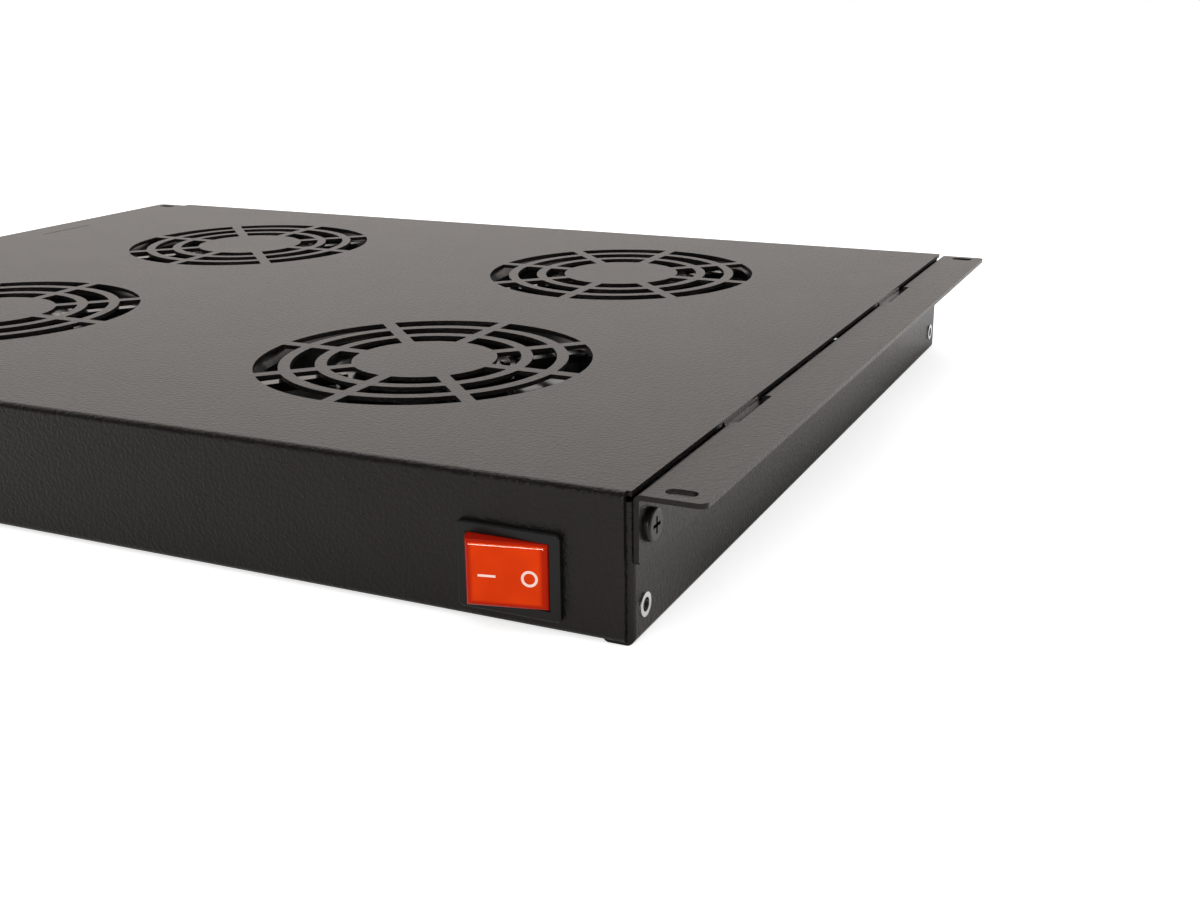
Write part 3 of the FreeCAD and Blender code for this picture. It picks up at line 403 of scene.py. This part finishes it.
def wireRun(mesh, start, end, radius):
    run = Vector(end) - Vector(start)
    turn = Vector((0, 0, 1)).rotation_difference(run.normalized()).to_matrix().to_4x4()
    place = Matrix.Translation((Vector(start) + Vector(end)) / 2) @ turn
    bmesh.ops.create_cone(mesh, cap_ends=True, segments=guard["sides"], radius1=radius, radius2=radius,
                          depth=run.length, matrix=place)


def makeGuard(place):
    low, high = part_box("fan_guard_" + place)
    middle = (low + high) / 2
    wire = guard["wire"] * mm
    legLevel = low.z + wire
    ringLevel = legLevel + 2 * wire - guard["weld"] * mm
    mesh = bmesh.new()
    for radius in guard["rings"]:
        wireRing(mesh, Vector((middle.x, middle.y, ringLevel)), radius * mm, wire, guard["ringSteps"])
    half = guard["screwPitch"] / 2 * mm
    for sideX in (-1, 1):
        for sideY in (-1, 1):
            screw = Vector((middle.x + sideX * half, middle.y + sideY * half, legLevel))
            outward = Vector((sideX, sideY, 0)).normalized()
            inner = Vector((middle.x, middle.y, legLevel)) + outward * (guard["rings"][0] * mm - 2 * wire)
            wireRun(mesh, inner, screw - outward * guard["loop"] * mm, wire)
            wireRing(mesh, screw, guard["loop"] * mm, wire, guard["loopSteps"])
    piece = addPiece("guardWires_" + place, mesh, materials["guard_chrome"], "chassis")
    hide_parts("fan_guard_" + place)


for place in fanPlaces:
    makeGuard(place)
print("guards made:", len(fanPlaces))


def rockerPlace(out):
    # from the rocker's middle line to its tilted face
    turn = Matrix.Rotation(math.radians(rocker["tilt"]), 4, "Z")
    return Matrix.Translation(rockerPivot) @ turn @ Matrix.Translation((0, -out * mm, 0))


# rocker marks, a bar at the raised end and a circle at the pressed one
def makeMarks():
    mesh = bmesh.new()
    center, length, line = (value * mm for value in rocker["bar"])
    depth = rocker["markDepth"] * mm
    place = Matrix.Translation((center, 0, 0)) @ Matrix.Diagonal((length, depth, line, 1))
    bmesh.ops.create_cube(mesh, size=1, matrix=place)
    center, outer, line = (value * mm for value in rocker["circle"])
    before = set(mesh.verts)
    corner = bmesh.ops.create_grid(mesh, x_segments=1, y_segments=1, size=0.5)["verts"]
    bmesh.ops.scale(mesh, verts=corner, vec=(line, depth, 1))
    bmesh.ops.translate(mesh, verts=corner, vec=(outer - line / 2, 0, 0))
    faces = list({face for vertex in corner for face in vertex.link_faces})
    edges = list({edge for vertex in corner for edge in vertex.link_edges})
    bmesh.ops.delete(mesh, geom=faces, context="FACES_ONLY")
    bmesh.ops.spin(mesh, geom=corner + edges, cent=(0, 0, 0), axis=(0, 1, 0), angle=2 * math.pi,
                   steps=rocker["circleSteps"], use_merge=True)
    circle = [vertex for vertex in mesh.verts if vertex not in before]
    bmesh.ops.translate(mesh, verts=circle, vec=(center, 0, 0))
    bmesh.ops.translate(mesh, verts=mesh.verts, vec=(0, 0, rocker["markLevel"] * mm))
    level = rocker["face"] + rocker["markStandOff"]
    bmesh.ops.transform(mesh, matrix=rockerPlace(level), verts=mesh.verts)
    addPiece("rockerMarks", mesh, markInk, "rocker")


def makeFacet():
    # the polished flat along the rocker's upper edge
    (low, lowOut), (high, highOut) = rocker["facet"]
    root = rocker["facetRoot"]
    mesh = bmesh.new()
    corners = ((-lowOut, low), (-highOut, high), (root, high), (root, low))
    ends = [mesh.verts.new((-rocker["facetLength"] / 2 * mm, y * mm, z * mm)) for y, z in corners]
    face = mesh.faces.new(ends)
    grown = bmesh.ops.extrude_face_region(mesh, geom=[face])["geom"]
    moved = [item for item in grown if isinstance(item, bmesh.types.BMVert)]
    bmesh.ops.translate(mesh, verts=moved, vec=(rocker["facetLength"] * mm, 0, 0))
    bmesh.ops.transform(mesh, matrix=rockerPlace(rocker["face"]), verts=mesh.verts)
    addPiece("rockerEdge", mesh, polishedEdge(), "rocker")


makeMarks()
makeFacet()
print("rocker marked")


# the floor sheet and the room around it
studio = {
    "floorSize": 6.0,
    "floorColor": (0.86, 0.86, 0.86),
    "floorRoughness": 0.9,
    "white": (1.0, 1.0, 1.0),
    "mirrored": (1.0, 0.93, 0.88),      # the tint of what the coat mirrors
    "ambient": 0.80,
    "frontDark": 0.9,                   # the dark side of the room, above and behind the camera
    "frontReach": ((0.05, -0.35), (-0.15, 0.15)),   # fades in over these Y and Z of the direction
    "backLight": 0.14,                  # the bright side, low behind the tray
    "backReach": ((0.0, 0.4), (0.48, 0.12)),
}
# how the floor glows, with lengths and places in metres
floorGlow = {
    "eye": 0.64,                        # towards the camera
    "eyeInDuct": 1.0,                   # seen through the fans
    "ductRadius": 0.057,
    "footInset": 0.012,                 # the tray hides the floor further in than this
    "mirror": 0.25,                     # in reflections
    "mirrorInDuct": 0.6,
    "sideLift": 1.9,
    "sideReach": (0.0, 0.02),
    "farLift": 1.35,
    "farReach": (-0.12, 0.20),
    "shade": 0.9,                       # along the foot of the sides
    "shadeWidth": 0.026,
    "shadeReach": (-0.17, -0.10),       # and not beside the front corners
}
lamps = {
    "keySoftbox": {"place": (-0.5, 0.9, 1.5), "aim": (0, 0, 0), "size": (1.2, 1.2), "power": 8},
    "frontStrip": {"place": (0.12, -1.33, 0.372), "aim": (0.19, -0.19, 0.02),
                   "size": (0.3, 0.12), "power": 2.6},
}


def reflectedRay(tree, path):
    # 1 for glossy and transmission rays
    return maths(tree, "MAXIMUM", path.outputs["Is Glossy Ray"], path.outputs["Is Transmission Ray"])


def makeWorld():
    world = bpy.data.worlds.new("studio")
    scene.world = world
    world.use_nodes = True
    tree = world.node_tree
    tree.nodes.clear()

    def background(color, strength):
        node = tree.nodes.new("ShaderNodeBackground")
        node.inputs["Color"].default_value = (*color, 1)
        node.inputs["Strength"].default_value = strength
        return node

    path = tree.nodes.new("ShaderNodeLightPath")
    lit = background(studio["white"], studio["ambient"])
    mirrored = background(studio["mirrored"], 1.0)
    seen = background(studio["white"], 1.0)
    x, y, z = parted(tree, tree.nodes.new("ShaderNodeTexCoord").outputs["Generated"])
    frontY, frontZ = studio["frontReach"]
    backY, backZ = studio["backReach"]
    dark = maths(tree, "MULTIPLY", fade(tree, y, frontY, 0.0, studio["frontDark"]), fade(tree, z, frontZ))
    light = maths(tree, "MULTIPLY", fade(tree, y, backY, 0.0, studio["backLight"]), fade(tree, z, backZ))
    strength = maths(tree, "ADD", maths(tree, "SUBTRACT", 1.0, dark), light)
    tree.links.new(strength, mirrored.inputs["Strength"])
    shown = lit.outputs[0]
    for factor, choice in ((reflectedRay(tree, path), mirrored), (path.outputs["Is Camera Ray"], seen)):
        mix = tree.nodes.new("ShaderNodeMixShader")
        tree.links.new(factor, mix.inputs["Fac"])
        tree.links.new(shown, mix.inputs[1])
        tree.links.new(choice.outputs[0], mix.inputs[2])
        shown = mix.outputs[0]
    tree.links.new(shown, tree.nodes.new("ShaderNodeOutputWorld").inputs["Surface"])


def insideDuct(tree, awayX, awayY, middle):
    # 1 under any of the four fans, which lie alike about the middle
    fanAxis = jointPlaces["fan_spin_rear_right"]
    fromAxis = tree.nodes.new("ShaderNodeCombineXYZ")
    tree.links.new(maths(tree, "SUBTRACT", awayX, fanAxis.x - middle.x), fromAxis.inputs[0])
    tree.links.new(maths(tree, "SUBTRACT", awayY, fanAxis.y - middle.y), fromAxis.inputs[1])
    reach = tree.nodes.new("ShaderNodeVectorMath")
    reach.operation = "LENGTH"
    tree.links.new(fromAxis.outputs[0], reach.inputs[0])
    return maths(tree, "LESS_THAN", reach.outputs["Value"], floorGlow["ductRadius"])


def floorStrength(tree, path):
    x, y, z = parted(tree, objectPoint(tree))
    middle = (panLow + panHigh) / 2
    half = (panHigh - panLow) / 2
    awayX = maths(tree, "ABSOLUTE", maths(tree, "SUBTRACT", x, middle.x))
    awayY = maths(tree, "ABSOLUTE", maths(tree, "SUBTRACT", y, middle.y))
    duct = insideDuct(tree, awayX, awayY, middle)

    hidden = maths(tree, "MULTIPLY", maths(tree, "LESS_THAN", awayX, half.x - floorGlow["footInset"]),
                   maths(tree, "LESS_THAN", awayY, half.y - floorGlow["footInset"]))
    clear = maths(tree, "MULTIPLY", maths(tree, "SUBTRACT", 1.0, hidden), floorGlow["eye"])
    seen = maths(tree, "ADD", clear, maths(tree, "MULTIPLY", duct, floorGlow["eyeInDuct"]))
    seen = maths(tree, "MULTIPLY", path.outputs["Is Camera Ray"], seen)

    beside = maths(tree, "SUBTRACT", awayX, half.x)
    shade = fade(tree, beside, (floorGlow["shadeWidth"], 0.0), 0.0, floorGlow["shade"])
    shade = maths(tree, "MULTIPLY", shade, fade(tree, y, floorGlow["shadeReach"]))
    glow = maths(tree, "MULTIPLY", fade(tree, beside, floorGlow["sideReach"], 1.0, floorGlow["sideLift"]),
                 fade(tree, y, floorGlow["farReach"], 1.0, floorGlow["farLift"]))
    glow = maths(tree, "MULTIPLY", glow, maths(tree, "SUBTRACT", 1.0, shade))
    glow = maths(tree, "MULTIPLY", glow, floorGlow["mirror"])
    glow = maths(tree, "MAXIMUM", glow, maths(tree, "MULTIPLY", duct, floorGlow["mirrorInDuct"]))
    return maths(tree, "ADD", seen, maths(tree, "MULTIPLY", reflectedRay(tree, path), glow))


def makeFloor():
    mesh = bmesh.new()
    bmesh.ops.create_grid(mesh, x_segments=1, y_segments=1, size=studio["floorSize"] / 2)
    data = bpy.data.meshes.new("floor")
    mesh.to_mesh(data)
    mesh.free()
    floor = bpy.data.objects.new("floor", data)
    scene.collection.objects.link(floor)
    material, tree, shader = startMaterial("floorPaper", studio["floorColor"], studio["floorRoughness"])
    shader.inputs["Specular IOR Level"].default_value = 0.0
    path = tree.nodes.new("ShaderNodeLightPath")
    tint = mixColor(tree, reflectedRay(tree, path), studio["white"], studio["mirrored"])
    tree.links.new(tint, shader.inputs["Emission Color"])
    tree.links.new(floorStrength(tree, path), shader.inputs["Emission Strength"])
    # clear to a look from underneath
    geometry = tree.nodes.new("ShaderNodeNewGeometry")
    clear = tree.nodes.new("ShaderNodeBsdfTransparent")
    sided = tree.nodes.new("ShaderNodeMixShader")
    tree.links.new(geometry.outputs["Backfacing"], sided.inputs[0])
    tree.links.new(shader.outputs[0], sided.inputs[1])
    tree.links.new(clear.outputs[0], sided.inputs[2])
    tree.links.new(sided.outputs[0], tree.nodes["Material Output"].inputs["Surface"])
    data.materials.append(material)


def makeLamp(name, place, aim, size, power):
    data = bpy.data.lights.new(name, "AREA")
    data.shape = "RECTANGLE"
    data.size, data.size_y = size
    data.energy = power
    lamp = bpy.data.objects.new(name, data)
    lamp.location = place
    lamp.rotation_euler = (Vector(aim) - Vector(place)).to_track_quat("-Z", "Y").to_euler()
    scene.collection.objects.link(lamp)


makeWorld()
makeFloor()
for name, lamp in lamps.items():
    makeLamp(name, **lamp)
print("studio ready")
